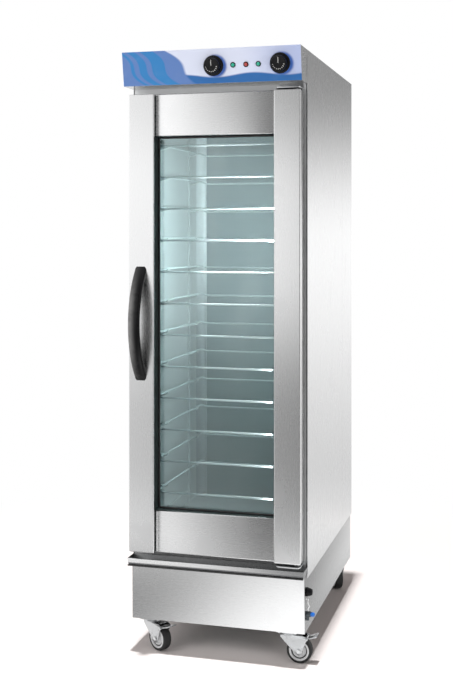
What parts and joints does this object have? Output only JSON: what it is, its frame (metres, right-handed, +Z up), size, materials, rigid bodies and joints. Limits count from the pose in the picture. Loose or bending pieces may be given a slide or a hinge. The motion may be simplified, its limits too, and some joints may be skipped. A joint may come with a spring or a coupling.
{
  "type": "proofing cabinet",
  "caption": "Upright stainless proofing cabinet on swivel casters, with a glazed hinged door, rod shelves, a slanted control box and a steam base.",
  "frame": {"origin": "middle of the whole cabinet's footprint on the floor, with everything that sticks out", "axes": "+Z up, +X to the right as seen from the front, +Y to the back; the door and controls face -Y"},
  "size_m": [0.57, 0.9284, 1.8002],
  "materials": {
    "stainless": "satin",
    "liner_steel": "satin",
    "zinc_steel": "satin",
    "shelf_rod": "polished",
    "dark_steel": "satin",
    "fan_aluminium": "matte",
    "mineral_wool": "matte",
    "black_plastic": "gloss",
    "core_plastic": "satin",
    "grey_plastic": "satin",
    "blue_plastic": "gloss",
    "seal_rubber": "matte",
    "wheel_rubber": "matte",
    "printed_fascia": "satin",
    "green_lens": "gloss",
    "red_lens": "gloss",
    "pane_glass": "gloss"
  },
  "bodies": {
    "cabinet": {"left_side_panel": "stainless", "right_side_panel": "stainless", "rear_cover": "stainless", "roof_panel": "stainless", "chamber_liner": "liner_steel", "insulation_jacket": "mineral_wool", "duct_panel": "liner_steel", "fan_motor": "dark_steel", "air_heater": "dark_steel", "rack_left": "liner_steel", "rack_right": "liner_steel", "shelf_frame_01": "shelf_rod", "shelf_frame_02": "shelf_rod", "shelf_frame_03": "shelf_rod", "shelf_frame_04": "shelf_rod", "shelf_frame_05": "shelf_rod", "shelf_frame_06": "shelf_rod", "shelf_frame_07": "shelf_rod", "shelf_frame_08": "shelf_rod", "shelf_frame_09": "shelf_rod", "shelf_frame_10": "shelf_rod", "shelf_frame_11": "shelf_rod", "shelf_frame_12": "shelf_rod", "base_housing": "stainless", "water_tank": "stainless", "steam_heater": "dark_steel", "cable_gland": "black_plastic", "drain_valve_body": "grey_plastic", "overflow_pipe": "shelf_rod", "drip_tray": "stainless", "control_housing": "stainless", "control_fascia": "printed_fascia", "lamp_left": "green_lens", "lamp_middle": "red_lens", "lamp_right": "green_lens", "upper_hinge_bracket": "zinc_steel", "lower_hinge_bracket": "zinc_steel"},
    "door": {"door_latch_stile": "stainless", "door_hinge_stile": "stainless", "door_top_rail": "stainless", "door_bottom_rail": "stainless", "door_core": "core_plastic", "door_glass": "pane_glass", "door_inner_skin": "liner_steel", "door_seal": "seal_rubber", "door_handle": "black_plastic"},
    "fan": {"fan_wheel": "fan_aluminium"},
    "knob_left": {"knob_left": "black_plastic"},
    "knob_right": {"knob_right": "black_plastic"},
    "drain_knob": {"drain_knob": "blue_plastic"},
    "caster_front_right": {"caster_fork_front_right": "zinc_steel"},
    "wheel_front_right": {"caster_wheel_front_right": "wheel_rubber"},
    "caster_front_left": {"caster_fork_front_left": "zinc_steel"},
    "wheel_front_left": {"caster_wheel_front_left": "wheel_rubber"},
    "caster_rear_right": {"caster_fork_rear_right": "zinc_steel"},
    "wheel_rear_right": {"caster_wheel_rear_right": "wheel_rubber"},
    "caster_rear_left": {"caster_fork_rear_left": "zinc_steel"},
    "wheel_rear_left": {"caster_wheel_rear_left": "wheel_rubber"},
    "pedal_front_right": {"brake_pedal_front_right": "zinc_steel"},
    "pedal_front_left": {"brake_pedal_front_left": "zinc_steel"}
  },
  "joints": [
    {"name": "door_hinge", "type": "hinge", "parent": "cabinet", "child": "door", "pos_m": [0.2326, -0.36785, 0.993], "axis": [0, 0, 1], "range_deg": [0, 115]},
    {"name": "knob_left_turn", "type": "hinge", "parent": "cabinet", "child": "knob_left", "pos_m": [-0.004, -0.42145, 1.75109], "axis": [0, 0.9856, 0.1692], "range_deg": [0, 300]},
    {"name": "knob_right_turn", "type": "hinge", "parent": "cabinet", "child": "knob_right", "pos_m": [0.195, -0.42145, 1.75109], "axis": [0, 0.9856, 0.1692], "range_deg": [0, 300]},
    {"name": "drain_knob_turn", "type": "hinge", "parent": "cabinet", "child": "drain_knob", "pos_m": [0.2658, -0.33085, 0.148], "axis": [1, 0, 0], "range_deg": [0, 90]},
    {"name": "fan_spin", "type": "hinge", "parent": "cabinet", "child": "fan", "pos_m": [-0.014, 0.33685, 1.45], "axis": [0, 1, 0], "continuous": true},
    {"name": "swivel_front_right", "type": "hinge", "parent": "cabinet", "child": "caster_front_right", "pos_m": [0.198, -0.31685, 0.09], "axis": [0, 0, 1], "continuous": true},
    {"name": "wheel_front_right_roll", "type": "hinge", "parent": "caster_front_right", "child": "wheel_front_right", "pos_m": [0.231, -0.31685, 0.0375], "axis": [0, 1, 0], "continuous": true},
    {"name": "pedal_front_right_lift", "type": "hinge", "parent": "caster_front_right", "child": "pedal_front_right", "pos_m": [0.253, -0.31685, 0.07445], "axis": [0, -1, 0], "range_deg": [0, 10]},
    {"name": "swivel_front_left", "type": "hinge", "parent": "cabinet", "child": "caster_front_left", "pos_m": [-0.226, -0.31685, 0.09], "axis": [0, 0, 1], "continuous": true},
    {"name": "wheel_front_left_roll", "type": "hinge", "parent": "caster_front_left", "child": "wheel_front_left", "pos_m": [-0.19771, -0.33385, 0.0375], "axis": [0.515, 0.8572, 0], "continuous": true},
    {"name": "pedal_front_left_lift", "type": "hinge", "parent": "caster_front_left", "child": "pedal_front_left", "pos_m": [-0.17886, -0.34518, 0.07445], "axis": [-0.515, -0.8572, 0], "range_deg": [0, 10]},
    {"name": "swivel_rear_right", "type": "hinge", "parent": "cabinet", "child": "caster_rear_right", "pos_m": [0.198, 0.42465, 0.09], "axis": [0, 0, 1], "continuous": true},
    {"name": "wheel_rear_right_roll", "type": "hinge", "parent": "caster_rear_right", "child": "wheel_rear_right", "pos_m": [0.21349, 0.39551, 0.0375], "axis": [0.8829, 0.4695, 0], "continuous": true},
    {"name": "swivel_rear_left", "type": "hinge", "parent": "cabinet", "child": "caster_rear_left", "pos_m": [-0.226, 0.42465, 0.09], "axis": [0, 0, 1], "continuous": true},
    {"name": "wheel_rear_left_roll", "type": "hinge", "parent": "caster_rear_left", "child": "wheel_rear_left", "pos_m": [-0.19499, 0.41336, 0.0375], "axis": [0.342, 0.9397, 0], "continuous": true}
  ]
}
